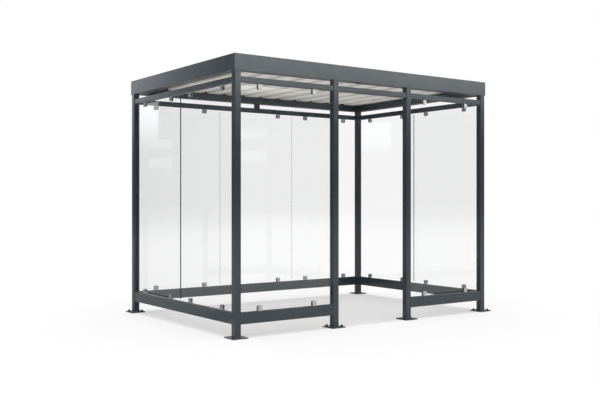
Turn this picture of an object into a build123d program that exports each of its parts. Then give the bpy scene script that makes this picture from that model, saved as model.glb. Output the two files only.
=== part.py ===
from build123d import *
import math
import os

# Bus shelter: a welded frame of square and rectangular steel tube on six posts,
# closed by nine clamped glass panes at the rear, at the sides and beside the entrance,
# under a flat roof of trapezoidal sheet that is hidden behind a fascia.
# Millimetres. X runs along the front, Y to the rear, Z up. The origin is the middle of the ground plan.

# Posts, from centre to centre, and their square tube
FRAME_LENGTH = 3000
FRAME_DEPTH = 2030
SIDE_BAY = 1050
POST_SIZE = 60
POST_WALL = 3
TUBE_CORNER = 4

# Base plates, each with two anchor holes on one diagonal
PLATE_SIZE = 150
PLATE_THICKNESS = 10
ANCHOR_OFFSET = 50
ANCHOR_HOLE = 14

# Bottom and top rails of rectangular tube, centred between the posts' faces
RAIL_DEPTH = 50
RAIL_WALL = 3
BOTTOM_RAIL_LOW = 115
BOTTOM_RAIL_HEIGHT = 100
TOP_RAIL_LOW = 2170
TOP_RAIL_HEIGHT = 50
HANGER_SIZE = 50

# Roof ring of box beams that stands on the posts, above a gap over the top rails
RING_GAP = 50
RING_HEIGHT = 70
RING_WIDTH = 90
RING_WALL = 3
RING_OVERHANG = 4

# Fascia, folded from sheet and fixed round the ring
FASCIA_HEIGHT = 140
FASCIA_THICKNESS = 2
FASCIA_RETURN = 40
FASCIA_DOWNTURN = 14

# Trapezoidal roof sheets, with ribs from front to rear
SHEET_THICKNESS = 1
SHEET_COUNT = 3
RIBS_PER_SHEET = 4
RIB_HEIGHT = 25
RIB_TOP = 50
RIB_FLARE = 17
EDGE_FLANGE = 58
SHEET_EDGE_GAP = 6
LAP_CLEARANCE = 0.4

# Glass panes and the gaps beside them
GLASS_THICKNESS = 8
GLASS_ARRIS = 1
POST_GAP = 10
PANE_GAP = 4

# Glass clamps, two below and two above each pane
CLAMP_INSET = 195
CLAMP_WIDTH = 45
CLAMP_HEIGHT = 45
CLAMP_DEPTH = 26
CLAMP_FOOT = 15
CLAMP_CORNER = 2
CLAMP_BEVEL = 1
GASKET_SIDE = 1.5
GASKET_PAD = 3
GASKET_MARGIN = 2

# Places worked out from the sizes above
POST_X = FRAME_LENGTH / 2
POST_Y = FRAME_DEPTH / 2
DOOR_X = POST_X - SIDE_BAY
BOTTOM_RAIL_TOP = BOTTOM_RAIL_LOW + BOTTOM_RAIL_HEIGHT
TOP_RAIL_TOP = TOP_RAIL_LOW + TOP_RAIL_HEIGHT
RING_LOW = TOP_RAIL_TOP + RING_GAP
RING_TOP = RING_LOW + RING_HEIGHT
RING_X = POST_X + POST_SIZE / 2 + RING_OVERHANG
RING_Y = POST_Y + POST_SIZE / 2 + RING_OVERHANG

# Each post has its centre and the diagonal of its anchor holes:
# 1 for front left to rear right, -1 for front right to rear left
POSTS = {
    "front_left": (-POST_X, -POST_Y, 1),
    "entrance_left": (-DOOR_X, -POST_Y, -1),
    "entrance_right": (DOOR_X, -POST_Y, 1),
    "front_right": (POST_X, -POST_Y, -1),
    "rear_right": (POST_X, POST_Y, 1),
    "rear_left": (-POST_X, POST_Y, -1),
}

# Each wall starts at a post centre and runs to the next post, with its outside on the right.
# It has its start, length, quarter turns about Z and the names of its panes in order.
WALLS = {
    "front_left": (-POST_X, -POST_Y, SIDE_BAY, 0, ["front_left"]),
    "entrance": (-DOOR_X, -POST_Y, 2 * DOOR_X, 0, []),
    "front_right": (DOOR_X, -POST_Y, SIDE_BAY, 0, ["front_right"]),
    "right": (POST_X, -POST_Y, FRAME_DEPTH, 1, ["right_front", "right_rear"]),
    "rear": (POST_X, POST_Y, FRAME_LENGTH, 2, ["rear_right", "rear_middle", "rear_left"]),
    "left": (-POST_X, POST_Y, FRAME_DEPTH, 3, ["left_rear", "left_front"]),
}

# The walls on each side that have glass
GLAZED_SIDES = {
    "front": ["front_left", "front_right"],
    "right": ["right"],
    "rear": ["rear"],
    "left": ["left"],
}

# The four sides of the roof in the order of their quarter turns,
# each with half its length and its distance from the middle
ROOF_SIDES = {
    "front": (RING_X, RING_Y),
    "right": (RING_Y, RING_X),
    "rear": (RING_X, RING_Y),
    "left": (RING_Y, RING_X),
}

# The plane of a cross-section that is extruded along X
ACROSS_X = Plane(origin=(0, 0, 0), x_dir=(0, 1, 0), z_dir=(1, 0, 0))


def tube_section(width, height, wall):
    """The cross-section of a rectangular tube with rounded edges."""
    return RectangleRounded(width, height, TUBE_CORNER) - Rectangle(width - 2 * wall, height - 2 * wall)


def post():
    """An upright from the top of its base plate to the underside of the roof ring."""
    section = tube_section(POST_SIZE, POST_SIZE, POST_WALL)
    return Pos(0, 0, PLATE_THICKNESS) * extrude(section, RING_LOW - PLATE_THICKNESS)


def base_plate(diagonal):
    """A square plate under a post, with its two anchor holes."""
    outline = Rectangle(PLATE_SIZE, PLATE_SIZE)
    for end in (-1, 1):
        outline -= Pos(end * ANCHOR_OFFSET, end * diagonal * ANCHOR_OFFSET) * Circle(ANCHOR_HOLE / 2)
    return extrude(outline, PLATE_THICKNESS)


def on_wall(wall):
    """The place of a wall's start, turned so that the wall runs along its own X."""
    x, y, length, quarters, panes = WALLS[wall]
    return Pos(x, y, 0) * Rot(0, 0, quarters * 90)


def rail(wall, low, height):
    """A rail cut to the clear width between two posts."""
    clear = WALLS[wall][2] - POST_SIZE
    tube = extrude(ACROSS_X * tube_section(RAIL_DEPTH, height, RAIL_WALL), clear)
    return on_wall(wall) * Pos(POST_SIZE / 2, 0, low + height / 2) * tube


def rear_hanger():
    """The short tube that ties the middle of the long rear rail to the roof ring."""
    section = tube_section(HANGER_SIZE, HANGER_SIZE, RAIL_WALL)
    return Pos(0, POST_Y, TOP_RAIL_TOP) * extrude(section, RING_LOW - TOP_RAIL_TOP)


def ring_side(side, section, outside, inward):
    """One side of a ring round the roof, mitred at both ends.

    The section has x inwards from a face that lies outside the ring's face, and y upwards.
    """
    half_length, distance = (size + outside for size in ROOF_SIDES[side])
    quarters = list(ROOF_SIDES).index(side)
    bar = Pos(-half_length, -distance, 0) * extrude(ACROSS_X * section, 2 * half_length)
    plan = Polygon(
        (-half_length, -distance),
        (half_length, -distance),
        (half_length - inward, -distance + inward),
        (inward - half_length, -distance + inward),
        align=None,
    )
    mitre = Pos(0, 0, RING_LOW) * extrude(plan, RING_HEIGHT + FASCIA_HEIGHT)
    return Rot(0, 0, quarters * 90) * (bar & mitre)


def roof_beam(side):
    """A box beam of the roof ring."""
    box = Rectangle(RING_WIDTH, RING_HEIGHT)
    box -= Rectangle(RING_WIDTH - 2 * RING_WALL, RING_HEIGHT - 2 * RING_WALL)
    section = Pos(RING_WIDTH / 2, RING_LOW + RING_HEIGHT / 2) * box
    return ring_side(side, section, 0, RING_WIDTH)


def fascia(side):
    """A folded fascia: a tall face, a return along its top and a short downturn."""
    high = RING_LOW + FASCIA_HEIGHT
    corner = Pos(0, high) * Rectangle(FASCIA_THICKNESS, FASCIA_HEIGHT, align=(Align.MIN, Align.MAX))
    corner += Pos(0, high) * Rectangle(FASCIA_RETURN, FASCIA_THICKNESS, align=(Align.MIN, Align.MAX))
    lip = Rectangle(FASCIA_THICKNESS, FASCIA_DOWNTURN, align=(Align.MAX, Align.MAX))
    section = corner + Pos(FASCIA_RETURN, high) * lip
    return ring_side(side, section, FASCIA_THICKNESS, FASCIA_RETURN)


def rib_points(middle, inset):
    """The underside of one rib, from its left foot to its right foot, drawn in by an inset."""
    slope = math.atan2(RIB_HEIGHT, RIB_FLARE)
    foot = RIB_TOP / 2 + RIB_FLARE - inset / math.sin(slope)
    top = RIB_TOP / 2 - inset * math.tan(slope / 2)
    high = RIB_HEIGHT - inset
    return [(middle - foot, 0), (middle - top, high), (middle + top, high), (middle + foot, 0)]


def roof_sheet(index):
    """A profiled sheet that lies on the ring.

    Its last rib is drawn in, and nests under the first rib of the next sheet.
    """
    half_width = RING_X - SHEET_EDGE_GAP
    first_rib = -half_width + EDGE_FLANGE + RIB_FLARE + RIB_TOP / 2
    pitch = -2 * first_rib / (SHEET_COUNT * RIBS_PER_SHEET)
    start = first_rib + index * RIBS_PER_SHEET * pitch
    lap = SHEET_THICKNESS + LAP_CLEARANCE
    points = []
    for rib in range(RIBS_PER_SHEET):
        points += rib_points(start + rib * pitch, 0)
    if index == 0:
        points.insert(0, (-half_width, 0))
    else:
        raised = lap * RIB_FLARE / RIB_HEIGHT
        points[0] = (points[0][0] + raised, lap)
    last_rib = start + RIBS_PER_SHEET * pitch
    if index == SHEET_COUNT - 1:
        points += rib_points(last_rib, 0)
        points.append((half_width, 0))
    else:
        points += rib_points(last_rib, lap)
    underside = Polyline(points).wire()
    outline = underside.offset_2d(SHEET_THICKNESS, kind=Kind.INTERSECTION, side=Side.LEFT, closed=True)
    depth = RING_Y - SHEET_EDGE_GAP
    upright = Plane(origin=(0, depth, RING_TOP), x_dir=(1, 0, 0), z_dir=(0, -1, 0))
    return extrude(upright * make_face(outline), 2 * depth)


def pane_spans(wall):
    """The start and end of each pane along a wall, from the first post's centre."""
    x, y, length, quarters, panes = WALLS[wall]
    room = length - POST_SIZE - 2 * POST_GAP - (len(panes) - 1) * PANE_GAP
    width = room / max(len(panes), 1)
    first = POST_SIZE / 2 + POST_GAP
    return [(first + i * (width + PANE_GAP), first + i * (width + PANE_GAP) + width) for i in range(len(panes))]


def pane(wall, start, end):
    """A sheet of glass with a small arris on its edges, held between the rails."""
    edge = CLAMP_FOOT + GASKET_PAD
    low = BOTTOM_RAIL_TOP + edge
    high = TOP_RAIL_LOW - edge
    sheet = Box(end - start, GLASS_THICKNESS, high - low)
    sheet = chamfer(sheet.edges(), GLASS_ARRIS)
    return on_wall(wall) * Pos((start + end) / 2, 0, (low + high) / 2) * sheet


def clamp_places(wall):
    """The places of a wall's clamps: upright on the bottom rail and inverted under the top rail."""
    places = []
    for start, end in pane_spans(wall):
        for along in (start + CLAMP_INSET, end - CLAMP_INSET):
            places.append(on_wall(wall) * Pos(along, 0, BOTTOM_RAIL_TOP))
            places.append(on_wall(wall) * Pos(along, 0, TOP_RAIL_LOW) * Rot(0, 180, 0))
    return places


def clamp_block():
    """The bevelled block that a clamp's body and cover are both cut from."""
    outline = Rectangle(CLAMP_WIDTH, CLAMP_DEPTH)
    block = extrude(chamfer(outline.vertices(), CLAMP_CORNER), CLAMP_HEIGHT)
    rim = block.faces().sort_by(Axis.Z)[-1].edges()
    return chamfer(rim, CLAMP_BEVEL)


def clamp_half(inside):
    """The space of the cover, and with inside=False the space beside the outer cheek."""
    slot = GLASS_THICKNESS / 2 + GASKET_SIDE
    low = slot if inside else -slot
    room = Box(2 * CLAMP_WIDTH, CLAMP_DEPTH, CLAMP_HEIGHT, align=(Align.CENTER, Align.MIN, Align.MIN))
    return Pos(0, low, CLAMP_FOOT) * room


def clamp_gasket():
    """A rubber channel between the clamp and the glass."""
    width = CLAMP_WIDTH - 2 * GASKET_MARGIN
    height = CLAMP_HEIGHT - CLAMP_FOOT - GASKET_MARGIN
    slot = GLASS_THICKNESS + 2 * GASKET_SIDE
    bottom = (Align.CENTER, Align.CENTER, Align.MIN)
    channel = Box(width, slot, height, align=bottom)
    channel -= Pos(0, 0, GASKET_PAD) * Box(2 * width, GLASS_THICKNESS, height, align=bottom)
    return Pos(0, 0, CLAMP_FOOT) * channel


def save(name, *solids):
    """Write one named piece, or a set of like pieces."""
    shape = solids[0] if len(solids) == 1 else Compound(list(solids))
    export_step(shape, f"parts/{name}.step")


def save_frame():
    """The posts, plates, rails and hanger."""
    for name, (x, y, diagonal) in POSTS.items():
        save(f"post_{name}", Pos(x, y, 0) * post())
    save("base_plates", *[Pos(x, y, 0) * base_plate(diagonal) for x, y, diagonal in POSTS.values()])
    for wall in WALLS:
        save(f"top_rail_{wall}", rail(wall, TOP_RAIL_LOW, TOP_RAIL_HEIGHT))
        if wall != "entrance":
            save(f"bottom_rail_{wall}", rail(wall, BOTTOM_RAIL_LOW, BOTTOM_RAIL_HEIGHT))
    save("rear_rail_hanger", rear_hanger())


def save_roof():
    """The ring beams, the fascias and the roof sheets."""
    for side in ROOF_SIDES:
        save(f"roof_beam_{side}", roof_beam(side))
        save(f"fascia_{side}", fascia(side))
    for index in range(SHEET_COUNT):
        save(f"roof_sheet_{index + 1}", roof_sheet(index))


def save_glazing():
    """The panes and the clamps that hold them."""
    block = clamp_block()
    body = block - clamp_half(False)
    cover = block & clamp_half(True)
    gasket = clamp_gasket()
    every_place = []
    for wall, (x, y, length, quarters, panes) in WALLS.items():
        for name, (start, end) in zip(panes, pane_spans(wall)):
            save(f"pane_{name}", pane(wall, start, end))
        every_place += clamp_places(wall)
    for side, walls in GLAZED_SIDES.items():
        places = [place for wall in walls for place in clamp_places(wall)]
        save(f"clamps_{side}", *[place * body for place in places])
    save("clamp_covers", *[place * cover for place in every_place])
    save("clamp_gaskets", *[place * gasket for place in every_place])


os.makedirs("parts", exist_ok=True)
save_frame()
save_roof()
save_glazing()
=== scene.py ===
import bmesh
import bpy
import math
from mathutils import Matrix, Vector


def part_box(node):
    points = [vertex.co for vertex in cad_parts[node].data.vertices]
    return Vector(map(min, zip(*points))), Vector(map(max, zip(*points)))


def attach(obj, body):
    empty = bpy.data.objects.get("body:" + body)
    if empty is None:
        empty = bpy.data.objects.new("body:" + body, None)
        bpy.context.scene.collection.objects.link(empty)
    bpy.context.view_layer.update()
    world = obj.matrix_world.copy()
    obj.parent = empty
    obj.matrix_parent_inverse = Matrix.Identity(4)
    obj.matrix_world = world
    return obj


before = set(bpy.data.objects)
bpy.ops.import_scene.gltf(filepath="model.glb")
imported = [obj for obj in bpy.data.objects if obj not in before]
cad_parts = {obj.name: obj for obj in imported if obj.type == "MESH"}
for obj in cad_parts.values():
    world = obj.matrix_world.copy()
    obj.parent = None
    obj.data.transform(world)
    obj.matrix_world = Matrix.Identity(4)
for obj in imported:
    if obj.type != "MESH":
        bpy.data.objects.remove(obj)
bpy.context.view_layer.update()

# A bus shelter: a welded frame of square steel tube in an anthracite powder coat,
# with clamped panes of toughened glass and a flat roof of profiled sheet behind a fascia.
# Metres. X runs along the front, Y to the rear and Z up.


# The posts, rails and roof ring are square and rectangular steel tube, welded together,
# and the fascia is folded sheet. All of it is powder coated in a satin anthracite,
# with slow clouds of tone and shine and the faint orange peel of such a coat.
COAT_DARK = (0.031, 0.042, 0.050)
COAT_LIGHT = (0.035, 0.046, 0.054)
COAT_TINT = (0.95, 0.975, 1.0, 1)
COAT_SPECULAR = 0.47
COAT_ROUGHNESS = (0.13, 0.18)
CLOUD_SIZE = 0.35
SMEAR_SIZE = 0.08
PEEL_SIZE = 0.0025
PEEL_DETAIL = 2.0
PEEL_DEPTH = 0.000008
NOISE_LOW = 0.3
NOISE_HIGH = 0.7


def nodes_named(*starts):
    """The names of the CAD nodes that begin with one of the starts."""
    return [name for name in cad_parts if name.startswith(starts)]


def new_finish(name):
    """A material, its nodes, its Principled shader and the object's own coordinates."""
    finish = bpy.data.materials.new(name)
    finish.use_nodes = True
    tree = finish.node_tree
    place = tree.nodes.new("ShaderNodeTexCoord").outputs["Object"]
    return finish, tree, tree.nodes["Principled BSDF"], place


def link(tree, source, target):
    """Joins two sockets."""
    tree.links.new(source, target)


def ramp(tree, value, low, high, at_low=0.0, at_high=1.0):
    """A value that eases from at_low to at_high as another one goes from low to high."""
    node = tree.nodes.new("ShaderNodeMapRange")
    node.interpolation_type = "SMOOTHSTEP"
    link(tree, value, node.inputs["Value"])
    for name, number in (("From Min", low), ("From Max", high), ("To Min", at_low), ("To Max", at_high)):
        node.inputs[name].default_value = number
    return node.outputs["Result"]


def mixed(tree, share, first, second):
    """A colour between two colours or sockets, as share goes from 0 to 1."""
    node = tree.nodes.new("ShaderNodeMix")
    node.data_type = "RGBA"
    link(tree, share, node.inputs["Factor"])
    # The numbers of the node's colour sockets, because those for plain values have the same names
    first_colour, second_colour, result = 6, 7, 2
    for index, value in ((first_colour, first), (second_colour, second)):
        if isinstance(value, bpy.types.NodeSocket):
            link(tree, value, node.inputs[index])
        else:
            node.inputs[index].default_value = (*value, 1)
    return node.outputs[result]


def mottle(tree, place, size, detail=3.0, stretch=(1, 1, 1)):
    """Noise whose patches are about size metres across, and longer by stretch."""
    scaled = tree.nodes.new("ShaderNodeMapping")
    scaled.inputs["Scale"].default_value = [1 / (size * length) for length in stretch]
    link(tree, place, scaled.inputs["Vector"])
    noise = tree.nodes.new("ShaderNodeTexNoise")
    noise.inputs["Scale"].default_value = 1
    noise.inputs["Detail"].default_value = detail
    link(tree, scaled.outputs["Vector"], noise.inputs["Vector"])
    return noise.outputs["Fac"]


def spread(tree, noise, least=0.0, most=1.0):
    """Stretches a noise, which keeps near its middle, over a whole range."""
    return ramp(tree, noise, NOISE_LOW, NOISE_HIGH, least, most)


def relief(tree, shader, height, depth):
    """Small bumps on the surface, depth metres high."""
    bump = tree.nodes.new("ShaderNodeBump")
    bump.inputs["Distance"].default_value = depth
    bump.inputs["Strength"].default_value = 1
    link(tree, height, bump.inputs["Height"])
    link(tree, bump.outputs["Normal"], shader.inputs["Normal"])


def dress(names, finish):
    """Gives CAD nodes a finish."""
    for name in names:
        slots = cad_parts[name].data.materials
        slots.clear()
        slots.append(finish)


coat, tree, shader, place = new_finish("anthracite_powder_coat")
clouds = spread(tree, mottle(tree, place, CLOUD_SIZE))
link(tree, mixed(tree, clouds, COAT_DARK, COAT_LIGHT), shader.inputs["Base Color"])
smears = spread(tree, mottle(tree, place, SMEAR_SIZE), *COAT_ROUGHNESS)
link(tree, smears, shader.inputs["Roughness"])
relief(tree, shader, mottle(tree, place, PEEL_SIZE, PEEL_DETAIL), PEEL_DEPTH)
shader.inputs["Specular IOR Level"].default_value = COAT_SPECULAR
shader.inputs["Specular Tint"].default_value = COAT_TINT
posts = nodes_named("post_")
rails = nodes_named("top_rail_", "bottom_rail_")
dress([*posts, *rails, "base_plates", "rear_rail_hanger"], coat)
dress(nodes_named("roof_beam_", "fascia_"), coat)


# Fillet welds run round each post at its foot and head, round the rail ends and the hanger.
# They are ground a little and coated with the frame, so only a soft ripple is left.
FOOT_WELD = 0.004
TUBE_WELD = 0.0025
WELD_SUNK = 0.0006
WELD_CORNER = 2
WELD_CORNER_STEPS = 3
# The bead's section, in steps inwards and upwards as shares of its leg
WELD_SECTION = ((0.35, 0.75), (0.65, 0.25), (0, -1))
RIPPLE = 0.0035
RIPPLE_HEIGHT = 0.00018
WELD_SMOOTH = 60
UP = (0, 0, 1)
DOWN = (0, 0, -1)
ALONG_X = (1, 0, 0)


def add_piece(name, shape, finish, smooth_below=35):
    """Turns a bmesh into a piece of the shelter, smooth where faces meet at under so many degrees."""
    mesh = bpy.data.meshes.new(name)
    shape.to_mesh(mesh)
    shape.free()
    mesh.polygons.foreach_set("use_smooth", [True] * len(mesh.polygons))
    mesh.set_sharp_from_angle(angle=math.radians(smooth_below))
    mesh.materials.append(finish)
    piece = bpy.data.objects.new(name, mesh)
    bpy.context.scene.collection.objects.link(piece)
    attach(piece, "root")


def standing(foot, up, side):
    """The place of a shape that stands on foot, with its Z along up and its X along side."""
    up = Vector(up)
    side = Vector(side)
    turn = Matrix((side, up.cross(side), up)).transposed().to_4x4()
    return Matrix.Translation(foot) @ turn


def grow(shape, loop):
    """Extrudes a loop of edges on the spot, and gives the new loop and its vertices."""
    made = bmesh.ops.extrude_edge_only(shape, edges=loop)["geom"]
    edges = [item for item in made if isinstance(item, bmesh.types.BMEdge)]
    return edges, [item for item in made if isinstance(item, bmesh.types.BMVert)]


def weld_ring(half_x, half_y, leg):
    """A fillet weld round a rectangular tube that stands on a flat face at z = 0."""
    ring = bmesh.new()
    bmesh.ops.create_circle(ring, segments=4, radius=math.sqrt(2))
    bmesh.ops.rotate(ring, verts=ring.verts, matrix=Matrix.Rotation(math.radians(45), 3, "Z"))
    bmesh.ops.scale(ring, verts=ring.verts, vec=(half_x + leg, half_y + leg, 1))
    bmesh.ops.bevel(
        ring,
        geom=ring.verts[:],
        offset=WELD_CORNER * leg,
        segments=WELD_CORNER_STEPS,
        profile=0.5,
        affect="VERTICES",
        material=-1,
    )
    sides = [edge for edge in ring.edges if edge.calc_length() > 2 * WELD_CORNER * leg]
    for edge in sides:
        bmesh.ops.subdivide_edges(ring, edges=[edge], cuts=int(edge.calc_length() / RIPPLE * 2))
    bmesh.ops.translate(ring, verts=ring.verts, vec=(0, 0, -WELD_SUNK))
    outer = ring.edges[:]
    loop = outer
    for inward, upward in WELD_SECTION:
        loop, verts = grow(ring, loop)
        reach_x = max(vert.co.x for vert in verts)
        reach_y = max(vert.co.y for vert in verts)
        bmesh.ops.scale(ring, verts=verts, vec=(1 - inward * leg / reach_x, 1 - inward * leg / reach_y, 1))
        bmesh.ops.translate(ring, verts=verts, vec=(0, 0, upward * leg))
    bmesh.ops.bridge_loops(ring, edges=outer + loop)
    for vert in ring.verts:
        if vert.co.z > 0:
            swell = RIPPLE_HEIGHT / half_x * math.sin(2 * math.pi * (vert.co.x + vert.co.y) / RIPPLE)
            vert.co.x *= 1 + swell
            vert.co.y *= 1 + swell
    bmesh.ops.recalc_face_normals(ring, faces=ring.faces)
    return ring


def put(whole, shape, place):
    """Adds a copy of a bmesh shape at a place."""
    mesh = bpy.data.meshes.new("part")
    shape.to_mesh(mesh)
    first = len(whole.verts)
    whole.from_mesh(mesh)
    whole.verts.ensure_lookup_table()
    bmesh.ops.transform(whole, matrix=place, verts=whole.verts[first:])
    bpy.data.meshes.remove(mesh)


welds = bmesh.new()
for name in [*posts, "rear_rail_hanger"]:
    low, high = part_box(name)
    half = (high.x - low.x) / 2
    foot_leg = FOOT_WELD if name in posts else TUBE_WELD
    for end, inward, leg in ((low, UP, foot_leg), (high, DOWN, TUBE_WELD)):
        foot = (low + high) / 2
        foot.z = end.z
        put(welds, weld_ring(half, half, leg), standing(foot, inward, ALONG_X))
for name in rails:
    low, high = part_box(name)
    size = high - low
    along = 0 if size.x > size.y else 1
    ring = weld_ring(size.z / 2, size[1 - along] / 2, TUBE_WELD)
    for end, sign in ((low, 1), (high, -1)):
        foot = (low + high) / 2
        foot[along] = end[along]
        inward = [0, 0, 0]
        inward[along] = sign
        put(welds, ring, standing(foot, inward, UP))
add_piece("weld_beads", welds, coat, WELD_SMOOTH)


# Each base plate is held down by two M12 anchors: a threaded stud, a washer and a nut,
# of steel with a dark finish. The stud rises through the plate and ends a little above the nut.
STUD_RADIUS = 0.006
STUD_LENGTH = 0.028
STUD_SIDES = 16
THREAD_PITCH = 0.00175
THREAD_DEPTH = 0.0005
WASHER_RADIUS = 0.012
WASHER_THICKNESS = 0.0025
WASHER_RIM = 0.0004
WASHER_SIDES = 24
RIM_STEPS = 2
NUT_ACROSS_FLATS = 0.019
NUT_HEIGHT = 0.010
NUT_RIM = 0.0008
ANCHOR_OFFSET = 0.050
# Which diagonal of its plate a post's anchors are on: 1 runs from front left to rear right
ANCHOR_DIAGONALS = {
    "post_front_left": 1,
    "post_entrance_left": -1,
    "post_entrance_right": 1,
    "post_front_right": -1,
    "post_rear_right": 1,
    "post_rear_left": -1,
}


def mottled_finish(
    name, dark, light, roughness, patch_size, bump_size, depth, metallic=0.0, stretch=(1, 1, 1)
):
    """A finish whose tone and roughness vary together in patches, with fine bumps."""
    finish, tree, shader, place = new_finish(name)
    patches = mottle(tree, place, patch_size, stretch=stretch)
    link(tree, mixed(tree, spread(tree, patches), dark, light), shader.inputs["Base Color"])
    link(tree, spread(tree, patches, *roughness), shader.inputs["Roughness"])
    shader.inputs["Metallic"].default_value = metallic
    relief(tree, shader, mottle(tree, place, bump_size, stretch=stretch), depth)
    return finish


def disc(shape, radius, thickness, rim, sides, low=0.0):
    """A flat round or hexagonal disc that lies at a height, with its upper rim bevelled."""
    made = bmesh.ops.create_circle(shape, cap_ends=True, segments=sides, radius=radius)
    bmesh.ops.translate(shape, verts=made["verts"], vec=(0, 0, low))
    face = made["verts"][0].link_faces[0]
    raised = bmesh.ops.extrude_face_region(shape, geom=[face])["geom"]
    top = [item for item in raised if isinstance(item, bmesh.types.BMVert)]
    bmesh.ops.translate(shape, verts=top, vec=(0, 0, thickness))
    edge = [item for item in raised if isinstance(item, bmesh.types.BMEdge)]
    bmesh.ops.bevel(
        shape,
        geom=edge,
        offset=rim,
        segments=RIM_STEPS,
        profile=0.5,
        affect="EDGES",
        material=-1,
    )


anchor_steel = mottled_finish(
    "dark_anchor_steel",
    dark=(0.045, 0.047, 0.05),
    light=(0.09, 0.09, 0.095),
    roughness=(0.35, 0.55),
    patch_size=0.004,
    bump_size=0.0012,
    depth=0.00003,
    metallic=0.7,
)
plate_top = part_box("base_plates")[1].z
anchor = bmesh.new()
disc(anchor, WASHER_RADIUS, WASHER_THICKNESS, WASHER_RIM, WASHER_SIDES)
disc(anchor, NUT_ACROSS_FLATS / math.sqrt(3), NUT_HEIGHT, NUT_RIM, 6, WASHER_THICKNESS)
radius = STUD_RADIUS - THREAD_DEPTH
made = bmesh.ops.create_circle(anchor, segments=STUD_SIDES, radius=radius)
bmesh.ops.translate(anchor, verts=made["verts"], vec=(0, 0, -plate_top))
loop = list({edge for vert in made["verts"] for edge in vert.link_edges})
bmesh.ops.contextual_create(anchor, geom=loop)
for turn in range(round(STUD_LENGTH / THREAD_PITCH)):
    for next_radius in (STUD_RADIUS, STUD_RADIUS - THREAD_DEPTH):
        loop, verts = grow(anchor, loop)
        share = next_radius / radius
        radius = next_radius
        bmesh.ops.scale(anchor, verts=verts, vec=(share, share, 1))
        bmesh.ops.translate(anchor, verts=verts, vec=(0, 0, THREAD_PITCH / 2))
bmesh.ops.contextual_create(anchor, geom=loop)
bmesh.ops.recalc_face_normals(anchor, faces=anchor.faces)

anchors = bmesh.new()
for name, diagonal in ANCHOR_DIAGONALS.items():
    low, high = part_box(name)
    for end in (-1, 1):
        x = (low.x + high.x) / 2 + end * ANCHOR_OFFSET
        y = (low.y + high.y) / 2 + end * diagonal * ANCHOR_OFFSET
        put(anchors, anchor, Matrix.Translation((x, y, plate_top)))
add_piece("ground_anchors", anchors, anchor_steel)


# The roof is three trapezoidal steel sheets that lie on the ring and nest at their side laps.
# They are coil coated, a warm grey-white below and a light grey above, with faint streaks
# from the rollers, and the flanks of the ribs below are painted darker as painted shade.
SHEET_DARK = (0.84, 0.82, 0.765)
SHEET_LIGHT = (0.90, 0.88, 0.825)
FLANK_PAINTED_SHADE = (0.60, 0.585, 0.535)
OUTER_DARK = (0.50, 0.51, 0.515)
OUTER_LIGHT = (0.58, 0.59, 0.595)
SHEET_ROUGHNESS = (0.38, 0.5)
STREAK_WIDTH = 0.05
STREAK_STRETCH = (1, 8, 1)
STREAK_DETAIL = 4.0
SHEET_SMEAR_SIZE = 0.02
SHEET_PEEL_SIZE = 0.0015
SHEET_PEEL_DEPTH = 0.000004
FLANK_SLANT = (0.4, 0.6)
TOP_SIDE = (-0.1, 0.1)


def calculated(tree, operation, first, second=None):
    """A Math node on one or two sockets or numbers."""
    node = tree.nodes.new("ShaderNodeMath")
    node.operation = operation
    for socket, value in zip(node.inputs, (first, second)):
        if isinstance(value, bpy.types.NodeSocket):
            link(tree, value, socket)
        elif value is not None:
            socket.default_value = value
    return node.outputs[0]


def face_direction(tree):
    """The X, Y and Z of the way in which each face looks."""
    parts = tree.nodes.new("ShaderNodeSeparateXYZ")
    link(tree, tree.nodes.new("ShaderNodeNewGeometry").outputs["True Normal"], parts.inputs[0])
    return parts.outputs


sheet_coat, tree, shader, place = new_finish("grey_white_coil_coat")
streaks = spread(tree, mottle(tree, place, STREAK_WIDTH, STREAK_DETAIL, STREAK_STRETCH))
facing = face_direction(tree)
# The flanks of the ribs below are painted darker: painted shade.
on_flank = ramp(tree, calculated(tree, "ABSOLUTE", facing["X"]), *FLANK_SLANT)
inner = mixed(tree, on_flank, mixed(tree, streaks, SHEET_DARK, SHEET_LIGHT), FLANK_PAINTED_SHADE)
outer = mixed(tree, streaks, OUTER_DARK, OUTER_LIGHT)
sheet_colour = mixed(tree, ramp(tree, facing["Z"], *TOP_SIDE), inner, outer)
link(tree, sheet_colour, shader.inputs["Base Color"])
sheet_smears = spread(tree, mottle(tree, place, SHEET_SMEAR_SIZE), *SHEET_ROUGHNESS)
link(tree, sheet_smears, shader.inputs["Roughness"])
relief(tree, shader, mottle(tree, place, SHEET_PEEL_SIZE), SHEET_PEEL_DEPTH)
sheets = nodes_named("roof_sheet_")
dress(sheets, sheet_coat)


# Zinc plated hexagon screws with washers hold the sheets to the front and rear beams in every trough.
# More of them stitch each side lap along the top of its rib.
SCREW_WASHER = 0.008
SCREW_WASHER_THICKNESS = 0.0025
SCREW_WASHER_RIM = 0.0005
SCREW_WASHER_SIDES = 16
SCREW_FLATS = 0.008
SCREW_HEAD = 0.005
SCREW_HEAD_RIM = 0.0006
RIB_PITCH = 0.238
RIBS = 13
RIBS_PER_SHEET = 4
SHEET_THICKNESS = 0.001
STITCHES = 5
STITCH_SPACING = 0.42
screw_steel = mottled_finish(
    "zinc_plated_screw",
    dark=(0.42, 0.43, 0.44),
    light=(0.58, 0.59, 0.60),
    roughness=(0.3, 0.45),
    patch_size=0.003,
    bump_size=0.0008,
    depth=0.00002,
    metallic=1,
)
screw = bmesh.new()
disc(screw, SCREW_WASHER, SCREW_WASHER_THICKNESS, SCREW_WASHER_RIM, SCREW_WASHER_SIDES)
disc(screw, SCREW_FLATS / math.sqrt(3), SCREW_HEAD, SCREW_HEAD_RIM, 6, SCREW_WASHER_THICKNESS)
beam_low, beam_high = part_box("roof_beam_front")
ring_top = beam_high.z
beam_y = (beam_low.y + beam_high.y) / 2
lap_top = max(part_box(name)[1].z for name in sheets)
first_rib = -RIB_PITCH * (RIBS - 1) / 2
screws = bmesh.new()
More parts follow.
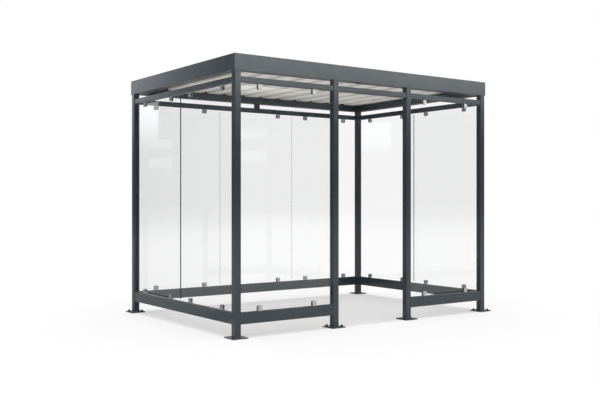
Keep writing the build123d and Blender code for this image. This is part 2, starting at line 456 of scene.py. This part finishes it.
for trough in range(RIBS - 1):
    x = first_rib + (trough + 0.5) * RIB_PITCH
    for y in (beam_y, -beam_y):
        put(screws, screw, Matrix.Translation((x, y, ring_top + SHEET_THICKNESS)))
for lap_rib in range(RIBS_PER_SHEET, RIBS - 1, RIBS_PER_SHEET):
    x = first_rib + lap_rib * RIB_PITCH
    for stitch in range(STITCHES):
        y = (stitch - (STITCHES - 1) / 2) * STITCH_SPACING
        put(screws, screw, Matrix.Translation((x, y, lap_top)))
add_piece("roof_screws", screws, screw_steel)


# Black foam closures fill the ribs over the front and rear beams, flush with the beams' inner faces.
# Each is cut to the rib's profile and held by its own squeeze between the sheet and the beam.
RIB_TOP = 0.050
RIB_FLARE = 0.017
RIB_HEIGHT = 0.025
CLOSURE_DEPTH = 0.030
CLOSURE_SQUEEZE = 0.0004
# Their black is the foam's own and also stands in for the shade deep in the ribs' hollows: painted shade.
foam = mottled_finish(
    "black_foam_closure",
    dark=(0.010, 0.010, 0.010),
    light=(0.020, 0.020, 0.021),
    roughness=(0.85, 0.95),
    patch_size=0.002,
    bump_size=0.002,
    depth=0.0002,
)
closure = bmesh.new()
closure_profile = (
    (-RIB_TOP / 2 - RIB_FLARE, 0),
    (RIB_TOP / 2 + RIB_FLARE, 0),
    (RIB_TOP / 2, RIB_HEIGHT - CLOSURE_SQUEEZE),
    (-RIB_TOP / 2, RIB_HEIGHT - CLOSURE_SQUEEZE),
)
near_end = closure.faces.new([closure.verts.new((x, 0, z)) for x, z in closure_profile])
grown = bmesh.ops.extrude_face_region(closure, geom=[near_end])["geom"]
far_end = [item for item in grown if isinstance(item, bmesh.types.BMVert)]
bmesh.ops.translate(closure, verts=far_end, vec=(0, CLOSURE_DEPTH, 0))
bmesh.ops.recalc_face_normals(closure, faces=closure.faces)
closures = bmesh.new()
for rib in range(RIBS):
    x = first_rib + rib * RIB_PITCH
    for y in (-beam_high.y, beam_high.y - CLOSURE_DEPTH):
        put(closures, closure, Matrix.Translation((x, y, ring_top)))
add_piece("rib_closures", closures, foam)


# The panes are 8 mm clear toughened glass with ground arrises and polished edges, held by clamps.
# Light passes their faces, which also mirror the room. The edges are coloured dark and slightly green
# when seen square on, and clear at a slant: the green is the glass's own, the dark is a painted
# reflection.
GLASS_CLEAR = (0.992, 0.994, 0.993, 1)
GLASS_MIRROR = 0.043
GRAZING_POWER = 5
EDGE_GREEN_AND_PAINTED_DARK = (0.010, 0.016, 0.014)
ARRIS_COLOUR = (0.05, 0.07, 0.065)
EDGE_ROUGHNESS = 0.3
EDGE_SPECULAR = 0.2
EDGE_CLEARS = (0.18, 0.45)
MIRROR_ROUGHNESS = (0.002, 0.016)
WIPE_SIZE = 0.12
WIPE_DETAIL = 5.0
WIPE_RANGE = (0.35, 0.75)
WAVE_SIZE = 0.5
WAVE_DEPTH = 0.00008
# A pane's faces look along its axis by more than FACE_LIMIT, its arrises by more than ARRIS_LIMIT.
FACE_LIMIT = 0.9
ARRIS_LIMIT = 0.4


def layered(tree, share, first, second):
    """A shader that goes from one to another as share goes from 0 to 1."""
    node = tree.nodes.new("ShaderNodeMixShader")
    link(tree, share, node.inputs[0])
    link(tree, first, node.inputs[1])
    link(tree, second, node.inputs[2])
    return node.outputs[0]


def pane_glass(name, axis):
    """Glass for panes whose two large faces look along an axis."""
    glass, tree, edge, place = new_finish(name)
    clear = tree.nodes.new("ShaderNodeBsdfTransparent")
    clear.inputs["Color"].default_value = GLASS_CLEAR
    mirror = tree.nodes.new("ShaderNodeBsdfGlossy")
    wipes = ramp(tree, mottle(tree, place, WIPE_SIZE, WIPE_DETAIL), *WIPE_RANGE, *MIRROR_ROUGHNESS)
    link(tree, wipes, mirror.inputs["Roughness"])
    relief(tree, mirror, mottle(tree, place, WAVE_SIZE, 0.0), WAVE_DEPTH)
    weight = tree.nodes.new("ShaderNodeLayerWeight")
    weight.inputs["Blend"].default_value = 0.5
    slant = weight.outputs["Facing"]
    mirrored = tree.nodes.new("ShaderNodeMapRange")
    mirrored.inputs["To Min"].default_value = GLASS_MIRROR
    link(tree, calculated(tree, "POWER", slant, GRAZING_POWER), mirrored.inputs["Value"])
    face = layered(tree, mirrored.outputs["Result"], clear.outputs[0], mirror.outputs[0])

    square_on = calculated(tree, "ABSOLUTE", face_direction(tree)[axis])
    is_arris = calculated(tree, "GREATER_THAN", square_on, ARRIS_LIMIT)
    # The edges' dark colour is a painted reflection of the dim room inside the glass, with the glass's own
    # green.
    link(tree, mixed(tree, is_arris, EDGE_GREEN_AND_PAINTED_DARK, ARRIS_COLOUR), edge.inputs["Base Color"])
    edge.inputs["Roughness"].default_value = EDGE_ROUGHNESS
    edge.inputs["Specular IOR Level"].default_value = EDGE_SPECULAR
    is_face = calculated(tree, "GREATER_THAN", square_on, FACE_LIMIT)
    as_face = calculated(tree, "MAXIMUM", is_face, ramp(tree, slant, *EDGE_CLEARS))
    whole = layered(tree, as_face, edge.outputs[0], face)
    link(tree, whole, tree.nodes["Material Output"].inputs["Surface"])
    return glass


dress(nodes_named("pane_front", "pane_rear"), pane_glass("glass_facing_front", "Y"))
dress(nodes_named("pane_left", "pane_right"), pane_glass("glass_facing_side", "X"))


# Glass clamps stand on the bottom rails and hang from the top rails, two to each edge of a pane.
# Each has a body outside and a cover inside, of satin stainless steel with an upright grain,
# that close on a channel of black rubber round the glass.
clamp_steel = mottled_finish(
    "satin_stainless",
    dark=(0.37, 0.375, 0.38),
    light=(0.43, 0.435, 0.44),
    roughness=(0.38, 0.52),
    patch_size=0.0006,
    bump_size=0.0006,
    depth=0.00002,
    metallic=1,
    stretch=(1, 1, 30),
)
dress(nodes_named("clamps_", "clamp_covers"), clamp_steel)
rubber = mottled_finish(
    "black_rubber_profile",
    dark=(0.012, 0.012, 0.012),
    light=(0.022, 0.022, 0.022),
    roughness=(0.6, 0.8),
    patch_size=0.001,
    bump_size=0.001,
    depth=0.00005,
)
dress(["clamp_gaskets"], rubber)


# One button-head screw with a hexagon socket holds each clamp's cover, from inside the shelter.
# It is of the clamps' stainless steel, and sits in the middle of the cover's face.
CLAMP_INSET = 0.195
CLAMP_DEPTH = 0.026
COVER_MIDDLE = 0.012
HEAD_RADIUS = 0.0055
HEAD_SIDES = 24
# The head's dome, as shares of its radius and heights
HEAD_DOME = ((0.97, 0.0010), (0.83, 0.0021), (0.58, 0.0029))
SOCKET_FLATS = 0.004
SOCKET_DEPTH = 0.0020
SOCKET_SIDE = math.radians(60)
HEAD_SMOOTH = 40
head = bmesh.new()
bmesh.ops.create_circle(head, cap_ends=True, segments=HEAD_SIDES, radius=HEAD_RADIUS)
loop = head.edges[:]
for share, height in HEAD_DOME:
    loop, verts = grow(head, loop)
    for vert in verts:
        vert.co = (*(vert.co.xy.normalized() * share * HEAD_RADIUS), height)
loop, verts = grow(head, loop)
for vert in verts:
    off_flat = math.atan2(vert.co.y, vert.co.x) % SOCKET_SIDE - SOCKET_SIDE / 2
    vert.co.xy = vert.co.xy.normalized() * SOCKET_FLATS / 2 / math.cos(off_flat)
loop, verts = grow(head, loop)
bmesh.ops.translate(head, verts=verts, vec=(0, 0, -SOCKET_DEPTH))
bmesh.ops.contextual_create(head, geom=loop)
bmesh.ops.recalc_face_normals(head, faces=head.faces)

heads = bmesh.new()
for name in nodes_named("pane_"):
    low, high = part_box(name)
    middle = (low + high) / 2
    across = 0 if high.x - low.x < high.y - low.y else 1
    along = 1 - across
    inward = Vector((0, 0, 0))
    inward[across] = -1 if middle[across] > 0 else 1
    for place_along in (low[along] + CLAMP_INSET, high[along] - CLAMP_INSET):
        for z in (low.z + COVER_MIDDLE, high.z - COVER_MIDDLE):
            foot = middle + inward * CLAMP_DEPTH / 2
            foot[along] = place_along
            foot.z = z
            put(heads, head, standing(foot, inward, UP))
add_piece("clamp_screws", heads, clamp_steel, HEAD_SMOOTH)


# The camera stands to the left in front of the shelter, at chest height, and looks level.
# It has a 50 mm lens on a 36 mm wide picture.
CAMERA_PLACE = (-5.1519, -7.0761, 1.1705)
CAMERA_AZIMUTH = 35.448
LENS = 50
PICTURE_WIDTH = 36
camera_data = bpy.data.cameras.new("camera")
camera_data.lens = LENS
camera_data.sensor_width = PICTURE_WIDTH
camera = bpy.data.objects.new("camera", camera_data)
camera.location = CAMERA_PLACE
camera.rotation_euler = (math.radians(90), 0, math.radians(-CAMERA_AZIMUTH))
bpy.context.scene.collection.objects.link(camera)
bpy.context.scene.camera = camera
bpy.context.scene.view_settings.view_transform = "Standard"


# The studio is an even white dome with a soft lamp straight overhead. The camera sees it white,
# also through the glass. Mirrors see a dark grey room instead, lighter overhead and cooler on the left,
# with large softboxes low at the front right and the rear left, and faint small windows.
DOME = 0.86
ROOM_GREY = 0.12
OVERHEAD = 1.3
OVERHEAD_FROM = 25
OVERHEAD_FULL = 60
COOLER = (0.98, 1.0, 1.06)
COOLER_BELOW = -20
PLAIN_ABOVE = 20
# Each has the azimuth of its middle, half its width, the blur of its sides and top, its lower edge
# with that edge's blur, its upper edge and its strength. Degrees, from the rear towards the right.
SOFTBOXES = (
    (159, 21, 1.0, 7.45, 0.3, 24, 3.8),
    (119, 20, 1.0, 6.9, 0.3, 24, 3.8),
    (38, 24, 0.8, 2, 1.0, 8.2, 0.45),
    (-14, 11.8, 0.12, 4.5, 2.0, 14, 1.75),
    (-20, 9, 3, 8, 1.5, 30, 0.95),
    (-40.4, 1.3, 0.2, 3.5, 0.9, 5.4, 1.3),
    (-70, 28, 4, 16, 4, 60, 1.36),
)
FAINT_WINDOWS = (
    (154.3, 0.8, 0.06, 3.55, 0.06, 4.15, 0.34),
    (154.3, 0.8, 0.06, 2.2, 0.06, 2.85, 0.34),
    (147.9, 0.75, 0.06, 4.22, 0.06, 5.0, 0.52),
    (147.9, 0.75, 0.06, 2.62, 0.06, 3.42, 0.52),
    (146.95, 0.15, 0.06, 4.22, 0.06, 5.0, 0.52),
    (146.95, 0.15, 0.06, 2.62, 0.06, 3.42, 0.52),
    (143.4, 0.9, 0.3, 2.6, 0.1, 3.6, 0.26),
    (142.6, 0.5, 0.2, 4.2, 0.1, 5.0, 0.3),
    (-25.95, 0.78, 0.06, 3.42, 0.06, 4.12, 0.40),
    (-25.95, 0.78, 0.06, 2.13, 0.06, 2.82, 0.40),
)


def window_seen(tree, azimuth, elevation, middle, half_width, side_blur, low, low_blur, high):
    """How much of a soft-edged window shows in a direction, from 0 to 1."""
    aside = calculated(tree, "ABSOLUTE", calculated(tree, "SUBTRACT", azimuth, middle))
    across = ramp(tree, aside, half_width - side_blur, half_width + side_blur, 1, 0)
    above = ramp(tree, elevation, low - low_blur, low + low_blur)
    below = ramp(tree, elevation, high - side_blur, high + side_blur, 1, 0)
    return calculated(tree, "MULTIPLY", across, calculated(tree, "MULTIPLY", above, below))


world = bpy.data.worlds.new("studio")
world.use_nodes = True
world.cycles.sampling_method = "NONE"
bpy.context.scene.world = world
room = world.node_tree
direction = room.nodes.new("ShaderNodeTexCoord")
parts = room.nodes.new("ShaderNodeSeparateXYZ")
link(room, direction.outputs["Generated"], parts.inputs[0])
azimuth_turn = calculated(room, "ARCTAN2", parts.outputs["X"], parts.outputs["Y"])
azimuth = calculated(room, "MULTIPLY", azimuth_turn, math.degrees(1))
elevation_turn = calculated(room, "ARCSINE", parts.outputs["Z"])
elevation = calculated(room, "MULTIPLY", elevation_turn, math.degrees(1))
room_light = ramp(room, elevation, OVERHEAD_FROM, OVERHEAD_FULL, ROOM_GREY, OVERHEAD)
for *window, strength in (*SOFTBOXES, *FAINT_WINDOWS):
    seen = window_seen(room, azimuth, elevation, *window)
    room_light = calculated(room, "MAXIMUM", room_light, calculated(room, "MULTIPLY", seen, strength))
tint = mixed(room, ramp(room, azimuth, COOLER_BELOW, PLAIN_ABOVE), COOLER, (1, 1, 1))
tinted_room = room.nodes.new("ShaderNodeVectorMath")
tinted_room.operation = "MULTIPLY"
link(room, room_light, tinted_room.inputs[0])
link(room, tint, tinted_room.inputs[1])
room_ray = room.nodes.new("ShaderNodeLightPath").outputs
straight = calculated(room, "MAXIMUM", room_ray["Is Camera Ray"], room_ray["Is Transmission Ray"])
dome = mixed(room, straight, (DOME,) * 3, (1, 1, 1))
surroundings = mixed(room, room_ray["Is Glossy Ray"], dome, tinted_room.outputs["Vector"])
background = room.nodes["Background"]
link(room, surroundings, background.inputs["Color"])
background.inputs["Strength"].default_value = 1

LAMP_IRRADIANCE = 0.35 * math.pi
LAMP_ANGLE = 2.5
lamp_data = bpy.data.lights.new("overhead_lamp", "SUN")
lamp_data.energy = LAMP_IRRADIANCE
lamp_data.angle = math.radians(LAMP_ANGLE)
lamp = bpy.data.objects.new("overhead_lamp", lamp_data)
bpy.context.scene.collection.objects.link(lamp)


# The floor is plain and matt, and keeps the shelter's shadow. The camera sees it fade into the white
# dome with distance. Mirrors see painted light and shade on it: it fades into the grey room, painted
# brighter at the front than at the rear, and painted in shade behind the shelter on the right.
FLOOR_HALF = 120
FLOOR_COLOUR = 0.868
FLOOR_BOUNCE = 0.8
# How much of the floor glows white to the camera, near and far. Where it reached 1,
# the noise filter would draw a faint line across the glass.
FLOOR_GLOW = (0.40, 0.998)
GLOW_DISTANCE = (10, 60)
# What mirrors see of it at the front (-1) and rear (1): where its fade starts and ends, and its brightness
FLOOR_FADES = ((-1, 0, 90, 0.83), (1, 11, 40, 0.54))
FADES_MEET = (-1, 1)
# Painted shade in what mirrors see of the floor behind the shelter on the right: its brightness, and the
# edge where it starts and ends.
FLOOR_SHADE = 0.15
SHADE_EDGE = (2, 5)
floor_paint, paint, matt, floor_place = new_finish("floor_paint")
matt.inputs["Roughness"].default_value = 1
matt.inputs["Specular IOR Level"].default_value = 0
floor_ray = paint.nodes.new("ShaderNodeLightPath").outputs
away = paint.nodes.new("ShaderNodeVectorMath")
away.operation = "LENGTH"
link(paint, floor_place, away.inputs[0])
distance = away.outputs["Value"]
position = paint.nodes.new("ShaderNodeSeparateXYZ")
link(paint, floor_place, position.inputs[0])
mirrored_floor = FLOOR_SHADE
for way, near, far, brightness in FLOOR_FADES:
    on_side = ramp(paint, calculated(paint, "MULTIPLY", position.outputs["Y"], way), *FADES_MEET)
    faded = calculated(paint, "MULTIPLY", ramp(paint, distance, near, far, brightness, ROOM_GREY), on_side)
    mirrored_floor = calculated(paint, "MAXIMUM", faded, mirrored_floor)
rear_right = calculated(paint, "MINIMUM", position.outputs["X"], position.outputs["Y"])
unshaded = calculated(paint, "MULTIPLY", mirrored_floor, ramp(paint, rear_right, *SHADE_EDGE, 1, 0))
mirrored_floor = calculated(paint, "MAXIMUM", unshaded, FLOOR_SHADE)
bounced = mixed(paint, floor_ray["Is Glossy Ray"], (FLOOR_BOUNCE,) * 3, mirrored_floor)
floor_colour = mixed(paint, floor_ray["Is Camera Ray"], bounced, (FLOOR_COLOUR,) * 3)
link(paint, floor_colour, matt.inputs["Base Color"])
glow = paint.nodes.new("ShaderNodeEmission")
glowing = ramp(paint, distance, *GLOW_DISTANCE, *FLOOR_GLOW)
glow_share = calculated(paint, "MULTIPLY", floor_ray["Is Camera Ray"], glowing)
floor_look = layered(paint, glow_share, matt.outputs[0], glow.outputs[0])
link(paint, floor_look, paint.nodes["Material Output"].inputs["Surface"])
floor_mesh = bmesh.new()
bmesh.ops.create_grid(floor_mesh, x_segments=1, y_segments=1, size=FLOOR_HALF)
floor_data = bpy.data.meshes.new("floor")
floor_mesh.to_mesh(floor_data)
floor_mesh.free()
floor_data.materials.append(floor_paint)
floor = bpy.data.objects.new("floor", floor_data)
bpy.context.scene.collection.objects.link(floor)
